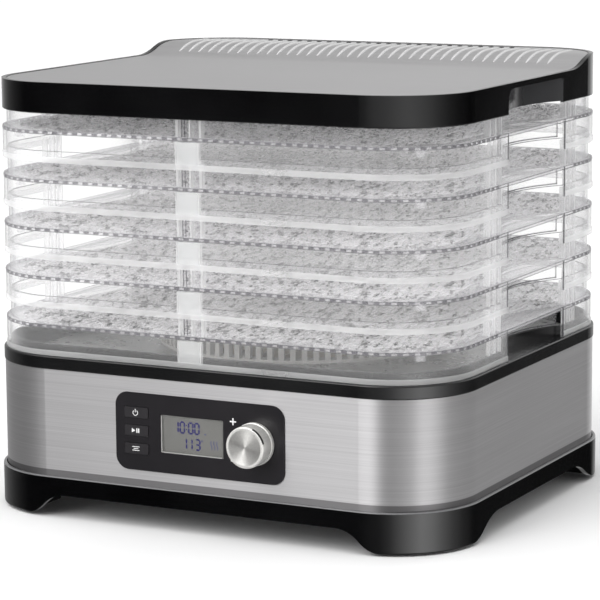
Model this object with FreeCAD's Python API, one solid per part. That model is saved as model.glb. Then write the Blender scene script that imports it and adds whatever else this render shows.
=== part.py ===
import FreeCAD, Part
import math
import os

# Food dehydrator: a heated fan base, five clear stacking trays and a lid.
# Frame: +Z up, front faces -Y, origin on the floor under the centre of the whole outline, knob included.
# Everything is drawn about the middle of the plan and moved by FRAME_SHIFT_Y when written. Millimetres.

# ---- driving dimensions ----------------------------------------------------------------------
# plan of each level: width along X, depth along Y, corner radius
FOOT_PLAN = (308.0, 276.0, 52.0)
STEEL_PLAN = (303.0, 271.0, 49.5)
RIM_PLAN = (304.0, 272.0, 50.0)
TRAY_PLAN = (301.0, 269.0, 48.5)
LID_PLAN = (300.0, 268.0, 48.0)

# base levels
LEG_BOTTOM = 1.0
SKIRT_BOTTOM = 14.0
FOOT_LEDGE_BOTTOM = 16.0
FOOT_LEDGE_TOP = 21.0
FOOT_TOP = 25.0
STEEL_TOP = 88.5
RIM_TOP = 96.2
DECK_FLOOR = 92.0
STEEL_THICK = 1.0

# tray stack: levels are measured from the bottom edge of each tray's skirt
TRAY_COUNT = 5
TRAY_PITCH = 28.4
BEAD_HEIGHT = 3.0
MESH_BOTTOM = 16.3
MESH_TOP = 18.5
ENGAGE = 6.5
SKIRT_INSET = 0.5
SKIRT_THICK = 1.8
WALL_INSET = 3.0
WALL_THICK = 1.6
HANG_BOTTOM = 7.2

# finger pockets on both sides of the trays and of the lid
GAP_CENTRE_Y = 6.0
GAP_WIDTH = 87.0
WALL_POCKET_WIDTH = 94.0
WALL_POCKET_DEPTH = 14.0
LID_POCKET_DEPTH = 11.0

# locating tab in the middle of the front and of the back
TAB_X = -4.5
TAB_WIDTH = 19.0

# lid
LID_BOTTOM = RIM_TOP + TRAY_COUNT * TRAY_PITCH
LID_TOP = LID_BOTTOM + 18.0
RAMP_START_Y = 60.0
RAMP_END_Y = 100.0
RAMP_RISE = 7.4
LID_WALL = 1.8
VENT_COUNT = 25
VENT_PITCH = 7.1
VENT_RADIUS = 1.3

# control panel on the front of the steel band
PANEL_X = 1.3
PANEL_Z = 57.0
PANEL_SIZE = (109.8, 45.7)
STEEL_FRONT = -STEEL_PLAN[1] / 2
PANEL_FRONT = STEEL_FRONT - 0.6
PANEL_BACK = STEEL_FRONT + 3.0
PCB_FRONT = STEEL_FRONT + 9.5
PCB_THICK = 1.6
BUTTON_X = -39.6
BUTTON_SIZE = (15.5, 6.3)
BUTTON_PITCH = 10.65
BUTTON_TRAVEL = 1.0
LCD_X = -3.4
LCD_SIZE = (40.9, 22.6)
KNOB_X = 37.5
KNOB_RADIUS = 12.0
KNOB_LENGTH = 12.5
SHAFT_RADIUS = 3.0

# fan, motor and heater on the vertical axis of the base
MOTOR_RADIUS = 20.0
MOTOR_BOTTOM = 26.0
MOTOR_TOP = 48.0
FAN_BOTTOM = 52.0
FAN_HEIGHT = 14.0
FAN_RADIUS = 70.0
FAN_HUB_RADIUS = 17.0
FAN_SHAFT_RADIUS = 2.5
BLADE_COUNT = 7
DUCT_RADIUS = 76.0
HEATER_Z = 80.0
HEATER_RADII = (25.0, 40.0, 55.0)
GRILLE_RADIUS = 88.0
GRILLE_TOP = 109.0
GRILLE_RIBS = 80

GLAND_X = 62.0
GLAND_Z = 45.0

KNOB_FRONT = PANEL_FRONT - 0.4 - KNOB_LENGTH
FRAME_SHIFT_Y = -(KNOB_FRONT + FOOT_PLAN[1] / 2) / 2

UP = FreeCAD.Vector(0, 0, 1)
FRONT = FreeCAD.Vector(0, -1, 0)


# ---- shape helpers ---------------------------------------------------------------------------
def vec(x, y, z=0.0):
    return FreeCAD.Vector(x, y, z)


def box(x0, x1, y0, y1, z0, z1):
    return Part.makeBox(x1 - x0, y1 - y0, z1 - z0, vec(x0, y0, z0))


def rod(x, y, z0, z1, radius):
    """Vertical cylinder."""
    return Part.makeCylinder(radius, z1 - z0, vec(x, y, z0), UP)


def front_rod(x, z, y_front, y_back, radius):
    """Cylinder along Y, between its front and its back plane."""
    return Part.makeCylinder(radius, y_back - y_front, vec(x, y_back, z), FRONT)


def ring(radius_out, radius_in, z0, z1):
    return rod(0, 0, z0, z1, radius_out).cut(rod(0, 0, z0 - 1, z1 + 1, radius_in))


def rounded_face(width, depth, radius):
    """Rounded rectangle in the XY plane, centred on the origin."""
    hx = width / 2
    hy = depth / 2
    k = radius * (1 - math.sqrt(0.5))
    edges = []
    corners = [(1, -1), (1, 1), (-1, 1), (-1, -1)]
    ends = []
    for sx, sy in corners:
        near_x = vec(sx * (hx - radius), sy * hy)
        near_y = vec(sx * hx, sy * (hy - radius))
        middle = vec(sx * (hx - k), sy * (hy - k))
        pair = (near_x, near_y) if sx * sy < 0 else (near_y, near_x)
        ends.append(pair)
        edges.append(Part.Arc(pair[0], middle, pair[1]).toShape())
    for i in range(4):
        edges.append(Part.LineSegment(ends[i][1], ends[(i + 1) % 4][0]).toShape())
    return Part.Face(Part.Wire(Part.__sortEdges__(edges)))


def plan_prism(plan, inset, z0, z1):
    """Upright prism on a level's plan, drawn in by inset."""
    width, depth, radius = plan
    face = rounded_face(width - 2 * inset, depth - 2 * inset, radius - inset)
    face.translate(vec(0, 0, z0))
    return face.extrude(vec(0, 0, z1 - z0))


def edges_at(solid, z):
    return [e for e in solid.Edges if abs(e.BoundBox.ZMin - z) < 1e-6 and abs(e.BoundBox.ZMax - z) < 1e-6]


def soften(solid, z, radius):
    """Round every edge that lies in the plane at height z."""
    return solid.makeFillet(radius, edges_at(solid, z))


def plan_shell(plan, inset, thick, z0, z1):
    return plan_prism(plan, inset, z0, z1).cut(plan_prism(plan, inset + thick, z0 - 1, z1 + 1))


def front_plate(x, z, width, height, radius, y_front, y_back):
    """Rounded rectangle facing the front, centred at x and z."""
    face = rounded_face(width, height, radius)
    face.rotate(vec(0, 0), vec(1, 0), 90)
    face.translate(vec(x, y_back, z))
    return face.extrude(vec(0, y_front - y_back, 0))


def s_curve(start, end):
    """Two equal tangent arcs between points whose end tangents are both horizontal (u, v pairs)."""
    (u0, v0), (u1, v1) = start, end
    half_u = (u1 - u0) / 2
    half_v = (v1 - v0) / 2
    radius = (half_u ** 2 + half_v ** 2) / (2 * abs(half_v))
    turn = math.asin(abs(half_u) / radius) / 2
    du = math.copysign(radius * math.sin(turn), half_u)
    dv = math.copysign(radius * (1 - math.cos(turn)), half_v)
    middle = (u0 + half_u, v0 + half_v)
    return [(start, (u0 + du, v0 + dv), middle), (middle, (u1 - du, v1 - dv), end)]


def profile_prism(start, spans, across, length):
    """Prism of a closed profile made of straight runs (2-tuples) and arcs (3-tuples of points).

    across is 'x' when the profile is in the YZ plane and is pushed along X, or 'y' for XZ along Y.
    """
    def place(point):
        u, v = point
        return vec(-length / 2, u, v) if across == "x" else vec(u, -length / 2, v)

    edges = []
    last = start
    for span in spans:
        if len(span) == 3 and isinstance(span[0], tuple):
            edges.append(Part.Arc(place(span[0]), place(span[1]), place(span[2])).toShape())
            last = span[2]
        else:
            edges.append(Part.LineSegment(place(last), place(span)).toShape())
            last = span
    edges.append(Part.LineSegment(place(last), place(start)).toShape())
    push = vec(length, 0, 0) if across == "x" else vec(0, length, 0)
    return Part.Face(Part.Wire(edges)).extrude(push)


def pocket_cylinders(edge_x, width, depth, grow, z0, z1):
    """The two big cylinders whose faces are the curved backs of the finger pockets."""
    radius = ((width / 2) ** 2 + depth ** 2) / (2 * depth)
    centre_x = edge_x - depth + radius
    rods = [rod(s * centre_x, GAP_CENTRE_Y, z0, z1, radius + grow) for s in (-1, 1)]
    return Part.makeCompound(rods)


def wall_pockets(grow, z0, z1):
    edge_x = TRAY_PLAN[0] / 2 - WALL_INSET
    return pocket_cylinders(edge_x, WALL_POCKET_WIDTH, WALL_POCKET_DEPTH, grow, z0, z1)


def lid_pockets(grow, z0, z1):
    return pocket_cylinders(LID_PLAN[0] / 2, GAP_WIDTH, LID_POCKET_DEPTH, grow, z0, z1)


def pocketed_wall(inset, thick, z0, z1):
    """Upright wall on the tray's plan that bends in around both finger pockets."""
    outer = plan_prism(TRAY_PLAN, inset, z0, z1).cut(wall_pockets(0, z0 - 1, z1 + 1))
    inner = plan_prism(TRAY_PLAN, inset + thick, z0 - 1, z1 + 1).cut(wall_pockets(thick, z0 - 2, z1 + 2))
    return outer.cut(inner)


def gap_boxes(z0, z1):
    """Boxes over the two side gaps, wide enough to cut a skirt."""
    y0 = GAP_CENTRE_Y - GAP_WIDTH / 2
    y1 = GAP_CENTRE_Y + GAP_WIDTH / 2
    return [box(-200, -120, y0, y1, z0, z1), box(120, 200, y0, y1, z0, z1)]


def fuse_all(shapes):
    return shapes[0].fuse(shapes[1:]).removeSplitter()


def cut_all(shape, tools):
    return shape.cut(Part.makeCompound(tools))


# ---- feet and bottom ---------------------------------------------------------------------------
FOOT_PAD_PLACES = [(sx * 128.0, sy * 108.0) for sx in (-1, 1) for sy in (-1, 1)]
PAD_RADIUS = 8.0
SCREW_POSTS = [(sx * 143.0, sy * 72.0) for sx in (-1, 1) for sy in (-1, 1)]
SCREW_POSTS += [(sx * 80.0, sy * 128.0) for sx in (-1, 1) for sy in (-1, 1)]
BOTTOM_PLATE_BOTTOM = SKIRT_BOTTOM
FRONT_ARCH = (88.0, 118.0)
SIDE_ARCH = (57.0, 100.0)


def arch_cutter(arch, across):
    """Space under the skirt between two legs, with S-shaped ends."""
    inner, outer = arch
    below = LEG_BOTTOM - 6
    left = s_curve((-outer, LEG_BOTTOM), (-inner, SKIRT_BOTTOM))
    right = s_curve((inner, SKIRT_BOTTOM), (outer, LEG_BOTTOM))
    spans = [(-outer, LEG_BOTTOM)] + left + [(inner, SKIRT_BOTTOM)] + right + [(outer, below)]
    return profile_prism((-outer, below), spans, across, 400.0)


def foot_frame():
    body = soften(plan_prism(FOOT_PLAN, 0, LEG_BOTTOM, FOOT_TOP), FOOT_TOP, 0.8)
    body = soften(body, LEG_BOTTOM, 1.2)
    hollows = [
        plan_prism(FOOT_PLAN, 1.8, FOOT_LEDGE_TOP, FOOT_TOP + 1),
        plan_prism(FOOT_PLAN, 14.4, LEG_BOTTOM - 1, FOOT_TOP + 1),
        plan_prism(FOOT_PLAN, 8.4, SKIRT_BOTTOM, FOOT_LEDGE_BOTTOM),
        plan_prism(FOOT_PLAN, 3.2, LEG_BOTTOM - 1, SKIRT_BOTTOM),
    ]
    body = body.cut(fuse_all(hollows))
    floor = plan_prism(FOOT_PLAN, 1.5, LEG_BOTTOM, LEG_BOTTOM + 3)
    corners = [box(sx * 138 - 22, sx * 138 + 22, sy * 122 - 24, sy * 122 + 24, 0, 9)
               for sx in (-1, 1) for sy in (-1, 1)]
    body = body.fuse(floor.common(Part.makeCompound(corners))).removeSplitter()
    body = body.cut(arch_cutter(FRONT_ARCH, "y")).cut(arch_cutter(SIDE_ARCH, "x"))
    body = cut_all(body, [rod(x, y, -1, LEG_BOTTOM + 2, PAD_RADIUS) for x, y in FOOT_PAD_PLACES])
    return cut_all(body, [rod(x, y, 10, 30, 1.7) for x, y in SCREW_POSTS])


def rubber_feet():
    pads = []
    for x, y in FOOT_PAD_PLACES:
        pad = rod(x, y, 0, LEG_BOTTOM + 2, PAD_RADIUS)
        pads.append(soften(pad, 0, 0.6))
    return Part.makeCompound(pads)


INTAKE_RINGS = (24.0, 34.0, 44.0, 54.0, 64.0)
BOARD_CENTRE = (-102.0, 84.0)
BOARD_SIZE = (60.0, 50.0)
BOARD_BOTTOM = 22.0


def board_corners():
    cx, cy = BOARD_CENTRE
    dx = BOARD_SIZE[0] / 2 - 4
    dy = BOARD_SIZE[1] / 2 - 4
    return [(cx + sx * dx, cy + sy * dy) for sx in (-1, 1) for sy in (-1, 1)]


def bottom_plate():
    body = plan_prism(FOOT_PLAN, 8.6, BOTTOM_PLATE_BOTTOM, FOOT_LEDGE_BOTTOM)
    standoffs = [rod(x, y, FOOT_LEDGE_BOTTOM, BOARD_BOTTOM, 3.0) for x, y in board_corners()]
    body = body.fuse(standoffs)
    spokes = []
    for i in range(3):
        spoke = box(-90, 90, -2, 2, 0, 40)
        spoke.rotate(vec(0, 0), UP, 60 * i)
        spokes.append(spoke)
    slots = [ring(r + 3, r - 3, BOTTOM_PLATE_BOTTOM - 1, FOOT_LEDGE_BOTTOM + 1) for r in INTAKE_RINGS]
    body = body.cut(Part.makeCompound(slots).cut(Part.makeCompound(spokes)))
    return cut_all(body, [rod(x, y, 10, 30, 1.7) for x, y in SCREW_POSTS])


def bottom_screws():
    screws = []
    for x, y in SCREW_POSTS:
        head = rod(x, y, BOTTOM_PLATE_BOTTOM - 1.8, BOTTOM_PLATE_BOTTOM, 3.0)
        cross = [box(x - 1.6, x + 1.6, y - 0.4, y + 0.4, 0, BOTTOM_PLATE_BOTTOM - 0.9),
                 box(x - 0.4, x + 0.4, y - 1.6, y + 1.6, 0, BOTTOM_PLATE_BOTTOM - 0.9)]
        shank = rod(x, y, BOTTOM_PLATE_BOTTOM, FOOT_LEDGE_TOP + 10, 1.5)
        screws.append(cut_all(head.fuse(shank), cross))
    return Part.makeCompound(screws)


# ---- steel band and deck -----------------------------------------------------------------------
def steel_band():
    body = plan_shell(STEEL_PLAN, 0, STEEL_THICK, FOOT_LEDGE_TOP, STEEL_TOP)
    width, height = PANEL_SIZE
    window = front_plate(PANEL_X, PANEL_Z, width - 4, height - 4, 6, STEEL_FRONT - 5, STEEL_FRONT + 5)
    gland_hole = front_rod(GLAND_X, GLAND_Z, -STEEL_FRONT - 5, -STEEL_FRONT + 5, 6.0)
    return body.cut(window).cut(gland_hole)


def base_rim():
    body = soften(plan_prism(RIM_PLAN, 0, STEEL_TOP, RIM_TOP), RIM_TOP, 0.8)
    body = soften(body, STEEL_TOP, 0.6)
    lip_top = RIM_TOP + ENGAGE
    lip = plan_prism(TRAY_PLAN, WALL_INSET, RIM_TOP - 1, lip_top).cut(wall_pockets(0, 80, 120))
    body = body.fuse(soften(lip, lip_top, 0.6))
    bowl = plan_prism(TRAY_PLAN, WALL_INSET + 2, DECK_FLOOR, lip_top + 1).cut(wall_pockets(2, 80, 120))
    body = body.cut(bowl).cut(plan_prism(TRAY_PLAN, 24, STEEL_TOP - 1, DECK_FLOOR + 1))
    flange = plan_shell(STEEL_PLAN, STEEL_THICK + 0.2, 2, STEEL_TOP - 4, STEEL_TOP)
    posts = [rod(x, y, FOOT_LEDGE_TOP, STEEL_TOP, 4.0) for x, y in SCREW_POSTS]
    body = body.fuse([flange] + posts).removeSplitter()
    return cut_all(body, [rod(x, y, FOOT_LEDGE_TOP - 1, FOOT_LEDGE_TOP + 12, 1.55) for x, y in SCREW_POSTS])


def deck_plate():
    """Shallow stainless drip plate around the air outlet."""
    body = plan_prism(TRAY_PLAN, 17, DECK_FLOOR, DECK_FLOOR + 1)
    body = body.cut(wall_pockets(2.4, DECK_FLOOR - 1, DECK_FLOOR + 2))
    return body.cut(rod(0, 0, DECK_FLOOR - 1, DECK_FLOOR + 2, DUCT_RADIUS))


def air_outlet_grille():
    base = DECK_FLOOR + 1
    foot_ring = ring(GRILLE_RADIUS, DUCT_RADIUS + 2, base, base + 1.6)
    cap = soften(rod(0, 0, GRILLE_TOP - 1.6, GRILLE_TOP, GRILLE_RADIUS), GRILLE_TOP, 0.8)
    slots = []
    for i in range(24):
        slot = box(26, 78, -1.8, 1.8, GRILLE_TOP - 3, GRILLE_TOP + 1)
        slot.rotate(vec(0, 0), UP, 15 * i)
        slots.append(slot)
    ribs = []
    for i in range(GRILLE_RIBS):
        rib = box(GRILLE_RADIUS - 4.5, GRILLE_RADIUS - 0.8, -1.6, 1.6, base, GRILLE_TOP - 0.8)
        rib.rotate(vec(0, 0), UP, 360.0 * i / GRILLE_RIBS)
        ribs.append(rib)
    return cut_all(cap, slots).fuse([foot_ring] + ribs)


# ---- fan and heater ----------------------------------------------------------------------------
def motor_mount():
    plate = rod(0, 0, MOTOR_BOTTOM - 2, MOTOR_BOTTOM, 26.0)
    feet = []
    for i in range(3):
        arm = box(0, 48, -5, 5, MOTOR_BOTTOM - 2, MOTOR_BOTTOM)
        arm = arm.fuse(rod(48, 0, FOOT_LEDGE_BOTTOM, MOTOR_BOTTOM, 5.0))
        arm.rotate(vec(0, 0), UP, 120 * i + 30)
        feet.append(arm)
    return fuse_all([plate] + feet)


def fan_motor():
    body = soften(rod(0, 0, MOTOR_BOTTOM, MOTOR_TOP, MOTOR_RADIUS), MOTOR_TOP, 1.5)
    nose = rod(0, 0, MOTOR_TOP - 2, MOTOR_TOP + 2, 6.0)
    return body.fuse(nose).cut(rod(0, 0, MOTOR_BOTTOM + 2, MOTOR_TOP + 3, FAN_SHAFT_RADIUS + 0.05))


def motor_shaft():
    return rod(0, 0, MOTOR_BOTTOM + 2.2, FAN_BOTTOM + FAN_HEIGHT + 4, FAN_SHAFT_RADIUS)


def fan_impeller():
    hub = soften(rod(0, 0, FAN_BOTTOM, FAN_BOTTOM + FAN_HEIGHT, FAN_HUB_RADIUS), FAN_BOTTOM + FAN_HEIGHT, 2.0)
    blades = []
    for i in range(BLADE_COUNT):
        blade = box(FAN_HUB_RADIUS - 3, FAN_RADIUS, -1.0, 1.0, -9.5, 9.5)
        blade.rotate(vec(0, 0), vec(1, 0), 55)
        blade.translate(vec(0, 0, FAN_BOTTOM + FAN_HEIGHT / 2))
        blade.rotate(vec(0, 0), UP, 360.0 * i / BLADE_COUNT)
        blades.append(blade)
    bore = rod(0, 0, FAN_BOTTOM - 1, FAN_BOTTOM + FAN_HEIGHT + 1, FAN_SHAFT_RADIUS)
    return fuse_all([hub] + blades).cut(bore)


def fan_nut():
    z0 = FAN_BOTTOM + FAN_HEIGHT
    turns = [math.radians(a) for a in range(0, 361, 60)]
    corners = [vec(5 * math.cos(a), 5 * math.sin(a), z0) for a in turns]
    nut = Part.Face(Part.makePolygon(corners)).extrude(vec(0, 0, 3))
    return nut.cut(rod(0, 0, z0 - 1, z0 + 5, FAN_SHAFT_RADIUS))


def motor_screws():
    screws = []
    for i in range(3):
        a = math.radians(120 * i + 90)
        x = 14 * math.cos(a)
        y = 14 * math.sin(a)
        screws.append(rod(x, y, MOTOR_BOTTOM - 3.6, MOTOR_BOTTOM - 2, 2.6))
    return Part.makeCompound(screws)


def air_duct():
    """Sheet-metal tube between the fan and the outlet, hung under the deck."""
    tube = ring(DUCT_RADIUS + 1.2, DUCT_RADIUS, 44, DECK_FLOOR)
    flange = ring(DUCT_RADIUS + 10, DUCT_RADIUS, DECK_FLOOR - 1.2, DECK_FLOOR)
    return fuse_all([tube, flange])


def heating_coil():
    return Part.makeCompound([Part.makeTorus(r, 2.0, vec(0, 0, HEATER_Z)) for r in HEATER_RADII])


def heater_frame():
    """Crossed mica boards that hold the coil inside the duct."""
    reach = DUCT_RADIUS - 0.2
    boards = fuse_all([box(-reach, reach, -0.8, 0.8, HEATER_Z - 6, HEATER_Z + 6),
                       box(-0.8, 0.8, -reach, reach, HEATER_Z - 6, HEATER_Z + 6)])
    trim = rod(0, 0, HEATER_Z - 7, HEATER_Z + 7, reach)
    notches = [Part.makeTorus(r, 2.1, vec(0, 0, HEATER_Z)) for r in HEATER_RADII]
    return cut_all(boards.common(trim), notches)


def thermostat():
    """Round bimetal cut-out on the outside of the duct."""
    x = DUCT_RADIUS + 1.3
    disc = Part.makeCylinder(8, 7, vec(x, 0, 62), vec(1, 0, 0))
    tabs = [box(x + 7, x + 13, s * 4 - 1.5, s * 4 + 1.5, 61.6, 62.4) for s in (-1, 1)]
    return fuse_all([disc] + tabs)


def thermal_fuse():
    """Axial fuse between the inner and the middle ring of the coil."""
    return Part.makeCylinder(2, 9, vec(-37, 3.0, HEATER_Z + 3), vec(1, 0, 0))


def power_board():
    cx, cy = BOARD_CENTRE
    dx = BOARD_SIZE[0] / 2
    dy = BOARD_SIZE[1] / 2
    return box(cx - dx, cx + dx, cy - dy, cy + dy, BOARD_BOTTOM, BOARD_BOTTOM + PCB_THICK)


def power_board_parts():
    """Transformer, relay, capacitor and terminal block."""
    cx, cy = BOARD_CENTRE
    z = BOARD_BOTTOM + PCB_THICK
    transformer = soften(box(cx - 24, cx + 4, cy - 2, cy + 20, z, z + 20), z + 20, 1.0)
    relay = box(cx + 9, cx + 24, cy + 4, cy + 20, z, z + 15)
    capacitor = soften(rod(cx - 14, cy - 13, z, z + 18, 6.0), z + 18, 0.8)
    terminals = box(cx - 2, cx + 18, cy - 20, cy - 9, z, z + 10)
    return Part.makeCompound([transformer, relay, capacitor, terminals])


def cord_gland():
    """Grommet in the rear of the steel band, left open where the cord would enter."""
    back = -STEEL_FRONT
    flange = soften(rod(0, 0, back, back + 2, 9.0), back + 2, 0.8)
    body = rod(0, 0, back - 10, back, 5.9)
    nut = ring(9.0, 5.9, back - STEEL_THICK - 5, back - STEEL_THICK)
    gland = fuse_all([flange, body, nut]).cut(rod(0, 0, back - 12, back + 4, 3.6))
    gland.rotate(vec(0, 0), vec(1, 0), -90)
    gland.translate(vec(GLAND_X, 0, GLAND_Z))
    return gland


# ---- control panel -----------------------------------------------------------------------------
def button_heights():
    return [PANEL_Z + 0.5 + BUTTON_PITCH, PANEL_Z + 0.5, PANEL_Z + 0.5 - BUTTON_PITCH]


def panel_boss_places():
    return [(PANEL_X + sx * 49.0, PANEL_Z + sz * 18.0) for sx in (-1, 1) for sz in (-1, 1)]


def control_panel():
    width, height = PANEL_SIZE
    face = front_plate(PANEL_X, PANEL_Z, width, height, 8, PANEL_FRONT, STEEL_FRONT)
    plug = front_plate(PANEL_X, PANEL_Z, width - 4.4, height - 4.4, 5.8, STEEL_FRONT, PANEL_BACK)
    bosses = [front_rod(x, z, PANEL_BACK, PCB_FRONT, 2.2) for x, z in panel_boss_places()]
    body = fuse_all([face, plug] + bosses)
    bw, bh = BUTTON_SIZE
    y0 = PANEL_FRONT - 1
    y1 = PANEL_BACK + 1
    cuts = [front_plate(BUTTON_X, z, bw + 0.4, bh + 0.4, 0.9, y0, y1) for z in button_heights()]
    cuts.append(front_plate(LCD_X, PANEL_Z, LCD_SIZE[0], LCD_SIZE[1], 0.6, y0, y1))
    cuts.append(front_rod(KNOB_X, PANEL_Z, y0, y1, 4.2))
    cuts += [front_rod(x, z, PANEL_BACK + 0.5, PCB_FRONT + 1, 1.0) for x, z in panel_boss_places()]
    return cut_all(body, cuts)


def button(z):
    bw, bh = BUTTON_SIZE
    cap = front_plate(BUTTON_X, z, bw, bh, 0.7, PANEL_FRONT - 0.4, PANEL_BACK + 2.0)
    flange = front_plate(BUTTON_X, z, bw + 2.5, bh + 2.2, 0.7, PANEL_BACK + 0.2, PANEL_BACK + 1.4)
    return fuse_all([cap, flange])


def tact_switches():
    switches = []
    for z in button_heights():
        case = front_plate(BUTTON_X, z, 6, 6, 0.3, PCB_FRONT - 1.9, PCB_FRONT)
        tip = front_rod(BUTTON_X, z, PANEL_BACK + 2.1 + BUTTON_TRAVEL, PCB_FRONT - 1.9, 1.6)
        switches.append(fuse_all([case, tip]))
    return Part.makeCompound(switches)


def display_block(gap, radius, y_front, y_back):
    """Block that fills the display's cut-out, smaller than it by gap."""
    width, height = LCD_SIZE
    return front_plate(LCD_X, PANEL_Z, width - gap, height - gap, radius, y_front, y_back)


def lcd_window():
    return display_block(0.4, 0.5, PANEL_FRONT, PANEL_FRONT + 1)


def lcd_module():
    return display_block(0.6, 0.4, PANEL_FRONT + 1.1, PCB_FRONT)


def control_pcb():
    board = front_plate(PANEL_X, PANEL_Z, 104, 40, 1.0, PCB_FRONT, PCB_FRONT + PCB_THICK)
    holes = [front_rod(x, z, PCB_FRONT - 1, PCB_FRONT + 3, 1.0) for x, z in panel_boss_places()]
    return cut_all(board, holes)


def panel_screws():
    screws = []
    for x, z in panel_boss_places():
        head = front_rod(x, z, PCB_FRONT + PCB_THICK, PCB_FRONT + PCB_THICK + 1.4, 2.2)
        shank = front_rod(x, z, PANEL_BACK + 1, PCB_FRONT + PCB_THICK, 0.95)
        screws.append(fuse_all([head, shank]))
    return Part.makeCompound(screws)


def encoder_body():
    case = front_plate(KNOB_X, PANEL_Z, 12, 12, 0.5, PCB_FRONT - 5, PCB_FRONT)
    bush = front_rod(KNOB_X, PANEL_Z, PANEL_FRONT + 0.6, PCB_FRONT - 5, 3.9)
    bore = front_rod(KNOB_X, PANEL_Z, PANEL_FRONT - 1, PCB_FRONT - 0.8, SHAFT_RADIUS + 0.05)
    return fuse_all([case, bush]).cut(bore)


def encoder_shaft():
    return front_rod(KNOB_X, PANEL_Z, PANEL_FRONT - KNOB_LENGTH + 3, PCB_FRONT - 1, SHAFT_RADIUS)


def control_knob():
    y_back = KNOB_FRONT + KNOB_LENGTH
    y_front = KNOB_FRONT
    base = front_rod(KNOB_X, PANEL_Z, y_back - 2.2, y_back, KNOB_RADIUS + 0.4)
    grip = front_rod(KNOB_X, PANEL_Z, y_front, y_back, KNOB_RADIUS)
    rim = [e for e in grip.Edges if abs(e.BoundBox.YMin - y_front) < 1e-6 and e.BoundBox.YLength < 1e-6]
    grip = grip.makeChamfer(0.7, rim)
    bore = front_rod(KNOB_X, PANEL_Z, PANEL_FRONT - KNOB_LENGTH + 3, y_back + 1, SHAFT_RADIUS)
    return fuse_all([grip, base]).cut(bore)


# ---- trays -------------------------------------------------------------------------------------
STOP_RIB_STEPS = (3.0, 8.0, 13.0, 18.0)
TAB_RIB_STEPS = (-9.0, -3.0, 3.0, 9.0)
LEDGE_TOP = 17.3
LEDGE_WIDTH = 4.0
SLOT_WIDTH = 3.0
SLOT_PITCH = 6.0
ROW_PITCH = 48.0
ROW_BAR = 3.0


def stop_ribs(z0, z1, depth_out, depth_in):
    """Short upright ribs beside the tabs and the side gaps; depths are insets from the tray's plan."""
    half_x = TRAY_PLAN[0] / 2
    half_y = TRAY_PLAN[1] / 2
    ribs = []
    for step in TAB_RIB_STEPS:
        x = TAB_X + step
        ribs.append(box(x - 0.6, x + 0.6, -half_y + depth_out, -half_y + depth_in, z0, z1))
        ribs.append(box(x - 0.6, x + 0.6, half_y - depth_in, half_y - depth_out, z0, z1))
    gap_half = GAP_WIDTH / 2
    for step in STOP_RIB_STEPS:
        for y in (GAP_CENTRE_Y - gap_half - 3 - step, GAP_CENTRE_Y + gap_half + 3 + step):
            ribs.append(box(-half_x + depth_out, -half_x + depth_in, y - 0.6, y + 0.6, z0, z1))
            ribs.append(box(half_x - depth_in, half_x - depth_out, y - 0.6, y + 0.6, z0, z1))
    return ribs


def inside_wall(gap, z0, z1):
    """Everything inside the tray's upper wall, kept off it by gap."""
    clear = WALL_THICK + gap
    return plan_prism(TRAY_PLAN, WALL_INSET + clear, z0, z1).cut(wall_pockets(clear, z0 - 1, z1 + 1))


def tray():
    """Frame of one clear tray, with the bottom edge of its skirt at z = 0."""
    skirt = plan_shell(TRAY_PLAN, SKIRT_INSET, SKIRT_THICK, 0, MESH_TOP)
    bead = plan_shell(TRAY_PLAN, 0, SKIRT_INSET + SKIRT_THICK, 0, BEAD_HEIGHT)
    skirt = cut_all(skirt.fuse(bead), gap_boxes(-1, MESH_BOTTOM))
    shelf = plan_prism(TRAY_PLAN, SKIRT_INSET, MESH_BOTTOM, MESH_TOP)
    shelf = shelf.cut(inside_wall(0, LEDGE_TOP, MESH_TOP + 1))
    shelf = shelf.cut(inside_wall(LEDGE_WIDTH, MESH_BOTTOM - 1, MESH_TOP))
    wall = pocketed_wall(WALL_INSET, WALL_THICK, MESH_BOTTOM, TRAY_PITCH + ENGAGE)
    hanging = pocketed_wall(WALL_INSET, WALL_THICK, HANG_BOTTOM, MESH_TOP)
    span = Part.makeCompound(gap_boxes(HANG_BOTTOM - 1, MESH_TOP + 1))
    hanging = hanging.common(span)
    tabs = []
    for side in (-1, 1):
        y = side * (TRAY_PLAN[1] / 2 - 1.2)
        x0 = TAB_X - TAB_WIDTH / 2
        tabs.append(box(x0, x0 + TAB_WIDTH, y - 1.2, y + 1.2, BEAD_HEIGHT, MESH_BOTTOM - 0.7))
    ribs = stop_ribs(ENGAGE, MESH_BOTTOM + 1, SKIRT_INSET + 1, WALL_INSET + WALL_THICK)
    return fuse_all([shelf, skirt, wall, hanging] + tabs + ribs)


def tray_mesh():
    """Floor of one tray: rows of narrow slots inside a plain border that lies on the frame's ledge."""
    body = inside_wall(0.3, LEDGE_TOP, MESH_TOP)
    field = inside_wall(LEDGE_WIDTH + 1, LEDGE_TOP - 1, MESH_TOP + 1)
    slots = []
    for row in range(-3, 3):
        y0 = row * ROW_PITCH + ROW_BAR / 2
        y1 = y0 + ROW_PITCH - ROW_BAR
        for column in range(-24, 25):
            x0 = column * SLOT_PITCH - SLOT_WIDTH / 2
            slots.append(box(x0, x0 + SLOT_WIDTH, y0, y1, LEDGE_TOP - 2, MESH_TOP + 2))
    return body.cut(field.common(Part.makeCompound(slots)))


# ---- lid ---------------------------------------------------------------------------------------
LEDGE_INSET = 11.0
PLATE_INSET = 3.0
PLATE_DROP = 0.3
PLATE_THICK = 1.0
LEDGE_THICK = 2.0
LINER_BOTTOM = LID_BOTTOM + ENGAGE
LINER_THICK = 2.0
LID_BOSSES = [(sx * 100.0, sy * 125.0) for sx in (-1, 1) for sy in (-1, 1)]
LID_BOSSES += [(sx * 141.0, sy * 74.0) for sx in (-1, 1) for sy in (-1, 1)]


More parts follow.
